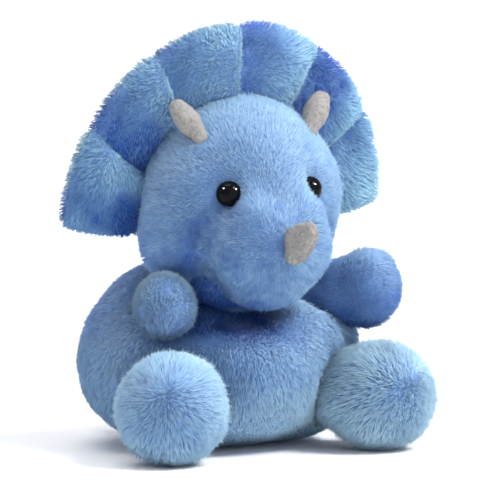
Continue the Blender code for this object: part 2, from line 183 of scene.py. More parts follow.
def mesh_from(name, verts, faces):
    """A mesh from arrays; faces is an array of triangles or of quads."""
    mesh = bpy.data.meshes.new(name)
    sides = faces.shape[1]
    mesh.vertices.add(len(verts))
    mesh.vertices.foreach_set("co", verts.astype(np.float32).ravel())
    mesh.loops.add(faces.size)
    mesh.loops.foreach_set("vertex_index", faces.astype(np.int32).ravel())
    mesh.polygons.add(len(faces))
    mesh.polygons.foreach_set("loop_start", np.arange(len(faces), dtype=np.int32) * sides)
    mesh.update(calc_edges=True)
    return mesh


def mesh_of(name, bm):
    mesh = bpy.data.meshes.new(name)
    bm.to_mesh(mesh)
    bm.free()
    return mesh


def linked(name, mesh):
    made = bpy.data.objects.new(name, mesh)
    bpy.context.scene.collection.objects.link(made)
    mesh.shade_smooth()
    return made


def neighbour_mean(values, edges, count):
    """The mean of each point's neighbours."""
    total = np.zeros((count,) + values.shape[1:])
    number = np.bincount(edges.ravel(), minlength=count)
    np.add.at(total, edges[:, 0], values[edges[:, 1]])
    np.add.at(total, edges[:, 1], values[edges[:, 0]])
    return total / np.maximum(number, 1).reshape((-1,) + (1,) * (values.ndim - 1))


def edges_of(mesh):
    edges = np.zeros(len(mesh.edges) * 2, dtype=np.int32)
    mesh.edges.foreach_get("vertices", edges)
    return edges.reshape(-1, 2)


def relax(mesh, rounds, share=0.5):
    """Smooths a mesh a little, in pairs of steps that keep its volume."""
    edges = edges_of(mesh)
    co = coords(mesh)
    for _ in range(rounds):
        co = co + share * (neighbour_mean(co, edges, len(co)) - co)
        co = co - share * 1.03 * (neighbour_mean(co, edges, len(co)) - co)
    set_coords(mesh, co)


def applied(made):
    """Turns the object's modifiers into mesh."""
    depsgraph = bpy.context.evaluated_depsgraph_get()
    mesh = bpy.data.meshes.new_from_object(made.evaluated_get(depsgraph))
    made.modifiers.clear()
    old = made.data
    made.data = mesh
    bpy.data.meshes.remove(old)
    mesh.shade_smooth()
    return made


def subdivided(made, levels):
    subdivision = made.modifiers.new("subdivision", "SUBSURF")
    subdivision.levels = subdivision.render_levels = levels
    applied(made)


def cast_form(name, cover, heart, inset, rounds=14, level=6):
    """A fine closed form laid just inside a CAD cover, seen from its heart. Openings are bridged."""
    tree = surface_tree(NODES[cover].data)
    bm = bmesh.new()
    bmesh.ops.create_icosphere(bm, subdivisions=level, radius=1)
    mesh = mesh_of(name, bm)
    ways = unit(coords(mesh))
    far = (CAD_BOX[1] - CAD_BOX[0]).length
    reach = np.full(len(ways), np.nan)
    for i, way in enumerate(ways):
        way = Vector(way)
        spot = tree.ray_cast(heart + way * far, -way, far)[0]
        if spot is not None:
            reach[i] = (spot - heart).length
    missing = np.isnan(reach)
    reach[missing] = np.nanmedian(reach)
    edges = edges_of(mesh)
    for _ in range(240 if missing.any() else 0):
        reach[missing] = neighbour_mean(reach, edges, len(reach))[missing]
    for _ in range(rounds):
        reach = 0.5 * reach + 0.5 * neighbour_mean(reach, edges, len(reach))
    set_coords(mesh, np.array(heart) + ways * reach[:, None])
    made = linked(name, mesh)
    set_coords(mesh, coords(mesh) - normals_of(mesh) * inset * MM)
    return made


def stuffed(made, voxel, pressure, cap, floor=None):
    """Fills a sewn cover: a remeshed copy swells under pressure, no point moving more than cap."""
    remesh = made.modifiers.new("remesh", "REMESH")
    remesh.mode = "VOXEL"
    remesh.voxel_size = voxel * MM
    applied(made)
    relax(made.data, 3)
    start = coords(made.data)
    set_coords(made.data, start * SIM_SCALE)
    cloth = made.modifiers.new("cloth", "CLOTH")
    cloth.settings.quality = 4
    cloth.settings.use_pressure = True
    cloth.settings.uniform_pressure_force = pressure
    cloth.settings.tension_stiffness = 15
    cloth.settings.compression_stiffness = 15
    cloth.settings.bending_stiffness = 0.5
    cloth.settings.effector_weights.gravity = 0
    cloth.collision_settings.use_collision = False
    scene = bpy.context.scene
    for step in range(1, SIM_STEPS + 1):
        scene.frame_set(step)
    depsgraph = bpy.context.evaluated_depsgraph_get()
    result = made.evaluated_get(depsgraph).to_mesh()
    moved = coords(result) / SIM_SCALE - start
    made.evaluated_get(depsgraph).to_mesh_clear()
    made.modifiers.clear()
    scene.frame_set(1)
    length = np.linalg.norm(moved, axis=1, keepdims=True)
    moved = moved * np.minimum(1, cap * MM / np.maximum(length, 1e-9))
    set_coords(made.data, start + moved)
    subdivided(made, 1)
    relax(made.data, 4)
    if floor is not None:
        co = coords(made.data)
        co[:, 2] = np.maximum(co[:, 2], floor * MM)
        set_coords(made.data, co)
    return made


# Materials -------------------------------------------------

def new_material(name, colour, roughness, sheen=0.0, sheen_tint=(1, 1, 1), sheen_roughness=0.45):
    made = bpy.data.materials.new(name)
    made.use_nodes = True
    shader = made.node_tree.nodes["Principled BSDF"]
    shader.inputs["Base Color"].default_value = (*colour, 1)
    shader.inputs["Roughness"].default_value = roughness
    shader.inputs["Sheen Weight"].default_value = sheen
    shader.inputs["Sheen Roughness"].default_value = sheen_roughness
    shader.inputs["Sheen Tint"].default_value = (*sheen_tint, 1)
    shader.inputs["Specular IOR Level"].default_value = 0.25
    return made, made.node_tree, shader


def node(tree, kind, **settings):
    made = tree.nodes.new(kind)
    for key, value in settings.items():
        if key in made.inputs:
            made.inputs[key].default_value = value
        else:
            setattr(made, key, value)
    return made


def texture(tree, kind, **settings):
    """A procedural texture in the object's own space."""
    place = node(tree, "ShaderNodeTexCoord")
    made = node(tree, kind, **settings)
    tree.links.new(place.outputs["Object"], made.inputs["Vector"])
    return made


def cloudy(tree, scale, detail=3.0, roughness=0.6):
    made = texture(tree, "ShaderNodeTexNoise", Scale=scale, Detail=detail, Roughness=roughness)
    return made.outputs["Fac"]


def ramp(tree, source, stops):
    made = node(tree, "ShaderNodeValToRGB")
    elements = made.color_ramp.elements
    while len(elements) < len(stops):
        elements.new(0.5)
    for element, (position, colour) in zip(elements, stops):
        element.position = position
        element.color = (*colour, 1)
    tree.links.new(source, made.inputs["Fac"])
    return made.outputs["Color"]


def tint(tree, shader, source, stops):
    """Colours a material from a texture."""
    tree.links.new(ramp(tree, source, stops), shader.inputs["Base Color"])


def shaded(colour, factor):
    return tuple(c * factor for c in colour)


def bump(tree, shader, height, strength, distance):
    made = node(tree, "ShaderNodeBump", Strength=strength, Distance=distance)
    tree.links.new(height, made.inputs["Height"])
    tree.links.new(made.outputs["Normal"], shader.inputs["Normal"])


def backing_material(name, colour):
    """The knitted backing that the pile grows from."""
    made, tree, shader = new_material(name, colour, 0.95, 0.1, (0.8, 0.9, 1.0))
    tint(tree, shader, cloudy(tree, 90.0), ((0.3, shaded(colour, 0.72)), (0.7, shaded(colour, 1.12))))
    bump(tree, shader, cloudy(tree, 1600.0, 4.0, 0.7), 0.6, 0.0005)
    return made


def multiplied(tree, colour, factor):
    made = node(tree, "ShaderNodeMix", data_type="RGBA", blend_type="MULTIPLY", Factor=1)
    tree.links.new(colour, made.inputs["A"])
    tree.links.new(factor, made.inputs["B"])
    return made.outputs["Result"]


def pile_material(name, root, body, tip, patches=0.12):
    """Fibres that are dark at the root and pale at the tip, no two quite alike, in soft patches.

    The third attribute carries painted light and shade, with some random tone: dark where shade falls, pale
    where light falls."""
    made, tree, shader = new_material(name, body, 0.7, 0.10, (0.80, 0.92, 1.0), 0.35)
    shader.inputs["Specular IOR Level"].default_value = 0.12
    along, tone, nap_and_painted_light = (node(tree, "ShaderNodeAttribute", attribute_name=kind).outputs["Fac"]
                        for kind in ("along", "tone", "nap_and_painted_light"))
    colour = ramp(tree, along, ((0.0, root), (0.45, body), (1.0, tip)))
    # Painted light and shade: the pile is painted deep blue where shade falls and paler where light falls.
    painted_light = ramp(tree, nap_and_painted_light, ((0.0, (0.13, 0.26, 0.66)), (0.5, (1.0, 1.0, 1.0)), (1.0, (1.50, 1.36, 1.12))))
    each = ramp(tree, tone, ((0.0, (0.91, 0.92, 0.95)), (1.0, (1.05, 1.04, 1.02))))
    broad = ramp(tree, cloudy(tree, 55.0), (
        (0.35, (1 - patches, 1 - patches * 0.8, 1 - patches * 0.5)), (0.65, (1.0, 1.0, 1.0))))
    for factor in (painted_light, each, broad):
        colour = multiplied(tree, colour, factor)
    tree.links.new(colour, shader.inputs["Base Color"])
    return made


# Pile ------------------------------------------------------

def triangles_of(mesh):
    mesh.calc_loop_triangles()
    tris = np.zeros(len(mesh.loop_triangles) * 3, dtype=np.int32)
    mesh.loop_triangles.foreach_get("vertices", tris)
    return tris.reshape(-1, 3)


def sort_in(pieces, body):
    """Gives pieces the body that they ride on."""
    for piece in pieces:
        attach(piece, body)


def plant(name, skin, density, length, width, lean, comb, look, seed, keep=None, clump=1.5, pull=0.5,
          wander=0.35, long_noise=0.25, soft=0.85, nap_and_painted_light=None):
    """Pile on a skin, in as many pieces as it needs: one closed, bent, tapering tuft for each root.

    density is in fibres per square millimetre. length and width are in millimetres, lean in degrees
    from upright. comb(points, normals) gives the way that the pile lies, and keep(points, normals)
    says where it grows; their points are in millimetres. clump is the width of a lock, and pull how
    far its fibres lean together. The last argument, given (points, normals), is painted light and shade with
    some random tone: 0 where the pile is painted dark, 1 where it is painted pale."""
    rng = np.random.default_rng(seed)
    tris = triangles_of(skin.data)
    vertex_normals = normals_of(skin.data)
    co = coords(skin.data) / MM
    a, b, c = (co[tris[:, i]] for i in range(3))
    areas = np.linalg.norm(np.cross(b - a, c - a), axis=1) / 2
    count = int(areas.sum() * density)
    pick = rng.choice(len(tris), count, p=areas / areas.sum())
    u, v = rng.random(count), rng.random(count)
    over = u + v > 1
    u[over], v[over] = 1 - u[over], 1 - v[over]
    w = 1 - u - v
    root = a[pick] * w[:, None] + b[pick] * u[:, None] + c[pick] * v[:, None]
    normal = unit(
        vertex_normals[tris[pick, 0]] * w[:, None]
        + vertex_normals[tris[pick, 1]] * u[:, None]
        + vertex_normals[tris[pick, 2]] * v[:, None])
    if keep is not None:
        grows = keep(root, normal)
        root, normal = root[grows], normal[grows]
    count = len(root)
    way = comb(root, normal) + wander * (swirl(root, 9, seed + 20) + 0.7 * swirl(root, 2.6, seed + 40))
    way = unit(way - normal * (way * normal).sum(1, keepdims=True))
    tall = length(root, normal) if callable(length) else np.full(count, float(length))
    tall = tall * (1 + long_noise * noise(root, 3.1, seed + 60)) * rng.uniform(0.78, 1.12, count)
    slant = np.radians(lean(root, normal) if callable(lean) else lean)
    slant = np.clip(slant + rng.normal(0, 0.19, count), LEAST_SLANT, MOST_SLANT)
    stray = rng.random(count) < STRAYS
    tall = np.where(stray, tall * 1.3, tall)
    slant = np.where(stray, slant * 0.55, slant)
    first = slant * 0.55
    start = root - normal * BURY
    rise = normal * np.cos(first)[:, None] + way * np.sin(first)[:, None]
    fall = normal * np.cos(slant)[:, None] + way * np.sin(slant)[:, None]
    half = root + rise * (tall * 0.5)[:, None]
    tip = half + unit(fall + rng.normal(0, 0.06, (count, 3))) * (tall * 0.5)[:, None]
    for place in (half, tip):
        place[:, 2] = np.maximum(place[:, 2], FLOOR_GAP)
    # Fibres gather into locks: each tip moves towards the tip of the lock's middle fibre.
    heads = rng.permutation(count)[: max(1, int(count / max(1.0, density * clump * clump)))]
    tree = KDTree(len(heads))
    for i, head in enumerate(heads):
        tree.insert(root[head], i)
    tree.balance()
    nearest = heads[np.fromiter((tree.find(p)[1] for p in root), dtype=np.int64, count=count)]
    share = pull * rng.uniform(0.55, 1.0, count)[:, None]
    tip = tip + (tip[nearest] - tip) * share
    half = half + (half[nearest] - half) * share * 0.45
    # A triangle round the fibre's foot, a smaller one halfway up, and the tip.
    axis = unit(tip - start)
    side = unit(np.cross(axis, unit(rng.normal(size=(count, 3)))))
    other = np.cross(axis, side)
    thick = width * rng.uniform(0.75, 1.25, count)
    corners = np.arange(3) * 2 * math.pi / 3
    ring = side[:, None] * np.cos(corners)[None, :, None] + other[:, None] * np.sin(corners)[None, :, None]
    ring = ring * (thick / 2)[:, None, None]
    points = np.concatenate((start[:, None] + ring, half[:, None] + ring * FIBRE_TAPER, tip[:, None]), axis=1)
    tone = np.clip(0.5 + noise(root, 5, seed + 80) * 0.35 + rng.normal(0, 0.22, count), 0, 1)
    # Painted light and shade for each fibre, with some random tone; 0.5 leaves the colour as it is.
    painted_light = np.full(count, 0.5) if nap_and_painted_light is None else np.clip(nap_and_painted_light(root, normal), 0, 1)
    low = normal[:, None] * soft + unit(ring) * (1 - soft)
    bent = unit(normal * 0.8 + unit(tip - half) * 0.25)
    shading = np.concatenate((low, low, bent[:, None]), axis=1)
    pieces = max(1, math.ceil(count / MOST_STRANDS))
    spread = int(np.argmax(np.ptp(root, axis=0)))
    made = []
    for i, chosen in enumerate(np.array_split(np.argsort(root[:, spread], kind="stable"), pieces)):
        label = name if pieces == 1 else f"{name}_{i + 1}"
        faces = (np.arange(len(chosen))[:, None, None] * len(STRAND_RISE) + STRAND_FACES[None]).reshape(-1, 3)
        mesh = mesh_from(label, points[chosen].reshape(-1, 3) * MM, faces)
        per_point = (("along", np.tile(STRAND_RISE, len(chosen))),
                     ("tone", np.repeat(tone[chosen], len(STRAND_RISE))),
                     ("nap_and_painted_light", np.repeat(painted_light[chosen], len(STRAND_RISE))))
        for attribute, values in per_point:
            layer = mesh.attributes.new(attribute, "FLOAT", "POINT")
            layer.data.foreach_set("value", values.astype(np.float32))
        mesh.materials.append(look)
        piece = linked(label, mesh)
        mesh.normals_split_custom_set_from_vertices(unit(shading[chosen].reshape(-1, 3)))
        made.append(piece)
    return made


# Colours ---------------------------------------------------

BACKING_BLUE = (0.130, 0.250, 0.500)
PLUSH_ROOT = (0.205, 0.365, 0.640)
PLUSH_BODY = (0.265, 0.465, 0.720)
PLUSH_TIP = (0.370, 0.570, 0.770)
FRILL_ROOT = (0.110, 0.255, 0.530)
FRILL_BODY = (0.205, 0.430, 0.700)
FRILL_TIP = (0.320, 0.560, 0.780)
SUEDE = (0.33, 0.315, 0.30)

BACKING = backing_material("plush_backing", BACKING_BLUE)
PLUSH_PILE = pile_material("plush_pile", PLUSH_ROOT, PLUSH_BODY, PLUSH_TIP)
FRILL_PILE = pile_material("frill_pile", FRILL_ROOT, FRILL_BODY, FRILL_TIP, 0.2)


def finished(made, look):
    made.data.materials.clear()
    made.data.materials.append(look)
    return made


# Head ------------------------------------------------------

EYE_WAY = Vector((14.6, -16.0, 3.52)).normalized()
NOSE = HEAD_CENTRE / MM + Vector((0, -34, -14))
EYE_HEIGHT = 3.0
EYE_RADIUS = 3.8
EYE_CLEAR = 3.15            # no pile grows nearer to an eye's middle than this
MUZZLE_CENTRE = (0, -13.5, -16.2)       # from the head's centre
MUZZLE_SHAPE = (1.0, 1.0, 0.86)
MUZZLE_RADIUS = 20.6
FACE_BACK = 1.0             # the face's fine pile ends this far in front of the head's centre

# How the stuffed skin differs from a plain ball: spot, reach and height of each swelling or dent.
CHIN = (((0.0, -19.0, -33.5), (11.0, 9.0, 7.0), 2.4),)
FACE_SIDES = (
    ((10.5, -24.5, -4.5), (5.5, 5.5, 5.6), 4.3),        # bridge, under the eye
    ((19.0, -12.0, -27.0), (6.0, 6.0, 6.0), -3.0),      # under the cheek
    ((15.0, -23.5, -18.0), (6.0, 8.0, 10.0), 2.4),      # side of the muzzle
    ((22.8, -16.5, -18.0), (4.4, 5.0, 13.0), -4.2),     # between muzzle and cheek
    ((23.5, 7.0, -23.5), (9.0, 12.0, 10.0), 3.8),       # jowl
)
EYE_SEAT = (((0.0, 0.0, 0.0), (6.0, 6.0, 6.0), -0.5), ((-5.0, -2.0, -1.5), (3.2, 3.5, 4.2), 1.5))


def mirrored(v):
    return Vector((-v.x, v.y, v.z))


def eye_place(side):
    """The middle of an eye's seat, and the way it looks."""
    way = EYE_WAY if side == "left" else mirrored(EYE_WAY)
    apex = max((v.co for v in NODES["eye_" + side].data.vertices), key=lambda co: co.dot(way))
    ends = [v.co for v in NODES["eye_" + side].data.vertices if (apex - v.co).dot(way) < 0.05 * MM]
    return sum(ends, Vector()) / len(ends) - way * EYE_HEIGHT * MM, way


EYES = {side: eye_place(side) for side in ("left", "right")}


def swell(made, height):
    """Moves the skin outwards by height(points), in millimetres."""
    co = coords(made.data)
    set_coords(made.data, co + normals_of(made.data) * (height(co / MM) * MM)[:, None])


def push(made, centre, reach, height):
    """Swells the skin round a point by height, or dents it where height is negative."""
    swell(made, lambda p: np.exp(-np.sum(((p - np.array(centre)) / reach) ** 2, axis=1)) * height)


def sculpt(made, moves, origin=(0, 0, 0), signs=(1,)):
    """Pushes the skin at each of the moves, mirrored from left to right where a sign is -1."""
    for sign in signs:
        for (across, along, up), reach, height in moves:
            push(made, np.array(origin) + (sign * across, along, up), reach, height)


def make_head():
    skin = cast_form("head_plush", "head_cover", HEAD_HEART, 1.15)
    stuffed(skin, 2.0, 5.0, 0.5)
    centre = np.array(HEAD_CENTRE) / MM

    def from_muzzle(p):
        return np.linalg.norm((p - centre - MUZZLE_CENTRE) / MUZZLE_SHAPE, axis=1)

    def beside(p):
        """From 0 on the bridge of the nose to 1 on the cheeks."""
        return smooth_step(np.abs(p[:, 0]), 8, 15)

    swell(skin, lambda p: -np.exp(-((from_muzzle(p) - MUZZLE_RADIUS) / 2.6) ** 2) * (0.3 + 1.5 * beside(p)))
    sculpt(skin, CHIN, centre)
    sculpt(skin, FACE_SIDES, centre, (-1, 1))
    for spot, way in EYES.values():
        sculpt(skin, EYE_SEAT, spot / MM, (math.copysign(1, way.x),))
    finished(skin, BACKING)
    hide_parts("head_cover", "head_stuffing")
    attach(skin, "head")
    eyes = [(np.array(spot) / MM, np.array(way)) for spot, way in EYES.values()]

    def clear_of_eyes(p):
        grows = np.ones(len(p), bool)
        for spot, way in eyes:
            off = p - spot
            along = off @ way
            away = np.linalg.norm(off - along[:, None] * way, axis=1)
            grows &= (away > EYE_CLEAR) | (along < -6)
        return grows

    def comb(p, n):
        back = unit(p - np.array(NOSE))
        return back + np.array((0, 0.1, -0.25))

    def length(p, n):
        tall = np.full(len(p), 1.75)
        for spot, way in eyes:
            tall *= 0.5 + 0.5 * smooth_step(np.linalg.norm(p - spot, axis=1), 3.5, 9.0)
        return tall

    # Painted light and shade on the head: paler on the crown and on the left of the face. Painted shade under
    # the head, in the fold between muzzle and cheek, low on the right of the nose and on the right cheek. The
    # noise terms are the pile's own random tone.
    def nap_and_painted_light(p, n):
        crown = smooth_step(p[:, 2], centre[2] + 10, centre[2] + 24)
        under = smooth_step(-p[:, 2], -centre[2] + 27, -centre[2] + 37)
        around = from_muzzle(p)
        fold = np.exp(-((around - 22.6) / 3.6) ** 2) * beside(p)
        front = np.exp(-(np.linalg.norm(p - (centre + (-7.0, -32.0, -21.0)), axis=1) / 10) ** 2)
        tousle = noise(p, 1.5, 102) * smooth_step(22 - around, 0, 3)
        cheek = smooth_step(-p[:, 0], 12, 24) * smooth_step(centre[2] - p[:, 2], 2, 14)
        bright = smooth_step(p[:, 0], 4, 18) * smooth_step(-p[:, 1], -centre[1] + 8, -centre[1] + 24)
        return (0.5 + 0.12 * crown - 0.50 * under - 0.26 * fold - 0.18 * cheek + 0.05 * bright
                - 0.13 * front + 0.16 * tousle
                + 0.08 * noise(p, 7.0, 91) + 0.06 * noise(p, 2.6, 94) + 0.10 * noise(p, 1.1, 101))

    pile = plant("head_pile_face", skin, 9.5, length, 0.115, 57, comb, PLUSH_PILE, 11,
                 lambda p, n: (p[:, 1] < centre[1] - FACE_BACK) & clear_of_eyes(p), clump=0.7, pull=0.2,
                 wander=0.2, long_noise=0.12, soft=0.93, nap_and_painted_light=nap_and_painted_light)
    pile += plant("head_pile_back", skin, 5.0, 2.0, 0.15, 60, comb, PLUSH_PILE, 12,
                  lambda p, n: p[:, 1] >= centre[1] - FACE_BACK, clump=0.9, pull=0.3, wander=0.25,
                  soft=0.9, nap_and_painted_light=nap_and_painted_light)
    sort_in(pile, "head")


# Turned pieces ---------------------------------------------

def lathe(name, profile, segments, matrix, shape=None):
    """A closed turned piece from a profile of (radius, height), top to bottom, in millimetres."""
    bm = bmesh.new()
    rings = []
    for radius, height in profile:
        if radius == 0:
            rings.append([bm.verts.new((0, 0, height * MM))])
            continue
        ring = []
        for i in range(segments):
            turn = 2 * math.pi * i / segments
            r = radius if shape is None else shape(radius, height, turn)
            ring.append(bm.verts.new((r * math.cos(turn) * MM, r * math.sin(turn) * MM, height * MM)))
        rings.append(ring)
    for upper, lower in zip(rings, rings[1:]):
        for i in range(segments):
            j = (i + 1) % segments
            corners = list(dict.fromkeys((
                upper[i % len(upper)], lower[i % len(lower)], lower[j % len(lower)], upper[j % len(upper)])))
            if len(corners) > 2:
                bm.faces.new(corners)
    bmesh.ops.recalc_face_normals(bm, faces=bm.faces)
    mesh = mesh_of(name, bm)
    mesh.transform(matrix)
    return linked(name, mesh)


def aimed(origin, way):
    return Matrix.Translation(origin) @ way.to_track_quat("Z", "Y").to_matrix().to_4x4()


def make_eyes():
    look, tree, shader = new_material("eye_black", (0.004, 0.004, 0.005), 0.06)
    shader.inputs["Specular IOR Level"].default_value = 0.07
    wear = ramp(tree, cloudy(tree, 700.0), ((0.4, (0.05,) * 3), (0.8, (0.10,) * 3)))
    tree.links.new(wear, shader.inputs["Roughness"])
    top = EYE_HEIGHT + 0.45
    dome = [(0, top)]
    for angle in range(6, 91, 6):
        turn = math.radians(angle)
        dome.append((EYE_RADIUS * math.sin(turn), top * math.cos(turn)))
    collar = [(EYE_RADIUS, -0.3), (EYE_RADIUS - 0.3, -0.4), (1.25, -0.4)]
    stem = []
    for i in range(12):
        stem += [(1.05, -0.8 - i * 0.42), (0.85, -1.0 - i * 0.42)]
    for side, (spot, way) in EYES.items():
        eye = lathe("eye_bead_" + side, dome + collar + stem + [(0.7, -6.0), (0, -6.0)], 48, aimed(spot, way))
        finished(eye, look)
        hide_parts("eye_" + side)
        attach(eye, "head")


# Horns -----------------------------------------------------

BROW_BASE = Vector((18.9, -8.6, 17.4))
BROW_TIP = Vector((25.3, -5.0, 27.1))
NOSE_BASE = Vector((1.1, -30.4, -15.0))
NOSE_TIP = Vector((1.9, -41.6, -8.6))
HORN_ROOT = 3.0             # how far a horn goes into the head
HORN_STITCH = 1.5           # from one stitch of its seam to the next
HORNS = (
    # name, base, tip, radius at the base, radius at the tip, belly, flattening, where its seam is, seed
    ("brow_horn_left", BROW_BASE, BROW_TIP, 2.5, 2.5, 1.15, 0.0, 0.4, 31),
    ("brow_horn_right", mirrored(BROW_BASE), mirrored(BROW_TIP), 2.5, 2.5, 1.15, 0.0, 2.9, 32),
    ("nose_horn", NOSE_BASE, NOSE_TIP, 4.3, 2.5, 0.4, 0.22, -1.5, 33),
)


def suede_material():
    made, tree, shader = new_material("horn_suede", SUEDE, 0.9, 0.1, (1, 1, 1))
    grain = cloudy(tree, 1000.0, 5.0, 0.75)
    speckle = ramp(tree, grain, ((0.34, shaded(SUEDE, 0.62)), (0.52, SUEDE), (0.70, shaded(SUEDE, 1.18))))
    patches = ramp(tree, cloudy(tree, 260.0), ((0.3, (0.88, 0.88, 0.90)), (0.7, (1.0, 1.0, 0.98))))
    tree.links.new(multiplied(tree, speckle, patches), shader.inputs["Base Color"])
    bump(tree, shader, grain, 1.0, 0.0005)
    return made


def make_horn(name, base, tip, base_radius, tip_radius, belly, flat, seam_turn, seed, look, nap_and_painted_light):
    base, tip = HEAD_CENTRE + base * MM, HEAD_CENTRE + tip * MM
    way = tip - base
    length = way.length / MM
    round_part = []
    for angle in range(0, 76, 8):
        turn = math.radians(angle)
        round_part.append((tip_radius * math.sin(turn), length - tip_radius * (1 - math.cos(turn))))
    side = []
    steps = 16
    for i in range(1, steps + 1):
        t = i / steps
        height = (length - tip_radius * 0.75) * (1 - t)
        radius = tip_radius + (base_radius - tip_radius) * t + belly * math.sin(math.pi * t)
        side.append((radius, height))
    foot = [(base_radius, -HORN_ROOT * 0.5), (base_radius * 0.8, -HORN_ROOT), (0, -HORN_ROOT)]

    def shape(radius, height, turn):
        off = math.atan2(math.sin(turn - seam_turn), math.cos(turn - seam_turn))
        pucker = 0.7 + 0.3 * math.cos(height * 2 * math.pi / HORN_STITCH)
        pinch = math.exp(-(off * radius / 0.55) ** 2) * 0.55 * pucker
        squeeze = 1 - flat * math.cos(2 * turn) + 0.04 * math.cos(2 * (turn - seam_turn))
        return radius * squeeze - pinch

    horn = lathe(name + "_suede", round_part + side + foot, 64, aimed(base, way), shape)
    swell(horn, lambda p: noise(p, 2.4, seed) * 0.16 + noise(p, 0.8, seed + 3) * 0.16)
    finished(horn, look)
    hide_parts(name, name + "_filling")
    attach(horn, "head")
    axis = np.array(way.normalized())
    pile = plant(name + "_nap", horn, 5.0, 0.28, 0.11, 50, lambda p, n: np.tile(axis, (len(p), 1)), nap_and_painted_light, seed,
                 lambda p, n: (p - np.array(base) / MM) @ axis > -0.5, clump=0.6, pull=0.4, wander=0.8)
    sort_in(pile, "head")


def make_horns():
    look = suede_material()
    nap_and_painted_light = pile_material("suede_nap", shaded(SUEDE, 0.62), SUEDE, shaded(SUEDE, 1.15), 0.1)
    for horn in HORNS:
        make_horn(*horn, look, nap_and_painted_light)


# Frill -----------------------------------------------------

FRILL_SPAN = 99             # degrees from its top to each tip
FRILL_SAG = 2.5             # its right tip hangs this many degrees lower
FRILL_DROOP = 19            # its lower edges drop by this many more where they meet the head
FRILL_RIM = 47.7            # from the head's centre to its edge
FRILL_TIP_REACH = (4.6, 6.6)     # how much further out its two tips reach, right and left
FRILL_TOP_Y = 0.6           # how far its top is behind the head's centre
FRILL_SWEEP = 12.4          # how much further back its sides are
FRILL_LEAN = 1.6            # how far its foot is behind its edge
FRILL_SEAM = 0.3            # its foot is sewn this far above the head's backing
FRILL_PLEATS = 6
PLEAT_PAINTED_LIGHT = (0.04, -0.04, 0.26, 0.02, -0.18, 0.12)     # how much paler each pleat's pile is painted: painted light and shade
FRILL_SCALLOP = 0.3         # how far its edge draws in between two pleats
FRILL_PUFF = 4.6            # how far a pleat's front stands out at its crest
FRILL_FLAT = 0.9            # half thickness in a fold
FRILL_EDGE = 2.2            # half thickness of the rolled rim
RIM_START = 0.76            # where the rolled rim begins, foot to edge
TIP_ROUND = 0.965           # where a tip's edge starts to round off
FRILL_COLUMNS = 288
FRILL_ROWS = 26

# Along the frill, turn goes from -1 at its right tip to 1 at its left, and rise from 0 at its foot to 1.


def frill_span(turn, rise):
    """How many degrees from the top a tip would be, for a point of the fan."""
    return FRILL_SPAN + FRILL_SAG * np.clip(-turn, 0, 1) + FRILL_DROOP * (1 - rise)


def frill_back(turn, rise):
    """How far behind the head's centre the fan's middle surface is."""
    sweep = 1 - np.cos(np.radians(turn * FRILL_SPAN))
    return FRILL_TOP_Y + FRILL_SWEEP * sweep + FRILL_LEAN * (1 - rise)


def frill_middle(turn, rise, foot):
    """Points of the fan's middle surface from the head's centre. foot is how far out it starts."""
    angle = np.radians(turn * frill_span(turn, rise))
    pleat = np.abs(np.sin(np.pi * FRILL_PLEATS * (turn + 1) / 2))
    tips = np.where(turn < 0, *FRILL_TIP_REACH)
    rim = FRILL_RIM + tips * np.abs(turn) ** 3 - FRILL_SCALLOP * (1 - pleat ** 0.6)
    reach = foot + (rim - foot) * rise
    return np.stack((reach * np.sin(angle), frill_back(turn, rise), reach * np.cos(angle)), axis=-1)


def frill_foot(turns, skin):
    """Where each column of the fan is sewn to the head: in the pile, just above the backing."""
    tree = surface_tree(skin.data)
    outside = 60 * MM
    feet = []
    for turn in turns:
        angle = math.radians(turn * frill_span(turn, 0))
        out = Vector((math.sin(angle), 0, math.cos(angle)))
        start = HEAD_CENTRE + out * outside + Vector((0, frill_back(turn, 0), 0)) * MM
        spot = tree.ray_cast(start, -out, outside)[0]
        feet.append(math.hypot(spot.x - HEAD_CENTRE.x, spot.z - HEAD_CENTRE.z) / MM + FRILL_SEAM)
    return np.array(feet)


def pleat_phase(turn):
    """From 0 to 1 across each pleat, right to left."""
    return (FRILL_PLEATS * (turn + 1) / 2) % 1.0


def pleat_lift(turn):
    """From 0 in a fold to 1 at a pleat's crest. Each pleat swells slowly and drops into the next fold."""
    phase = pleat_phase(turn)
    return smooth_step(phase, 0.0, 0.84) * (1 - smooth_step(phase, 0.88, 1.0))


def frill_half(turn, rise, front):
    """Half thickness: swollen at the pleats' crests, rolled at the rim."""
    puff = FRILL_PUFF if front else FRILL_PUFF * 0.6
    lift = pleat_lift(turn)
    body = FRILL_FLAT + puff * lift * (0.6 + 0.4 * rise)
    to_rim = smooth_step(rise, RIM_START - 0.1, RIM_START + 0.12)
    half = body * (1 - to_rim) + (FRILL_EDGE + 0.8 * lift) * to_rim
    roll = np.clip((rise - RIM_START) / (1 - RIM_START), 0, 1)
    ends = np.clip((np.abs(turn) - TIP_ROUND) / (1 - TIP_ROUND), 0, 1)
    return half * np.sqrt(np.clip(1 - roll ** 3, 0, 1)) * np.sqrt(np.clip(1 - ends ** 2.5, 0, 1))


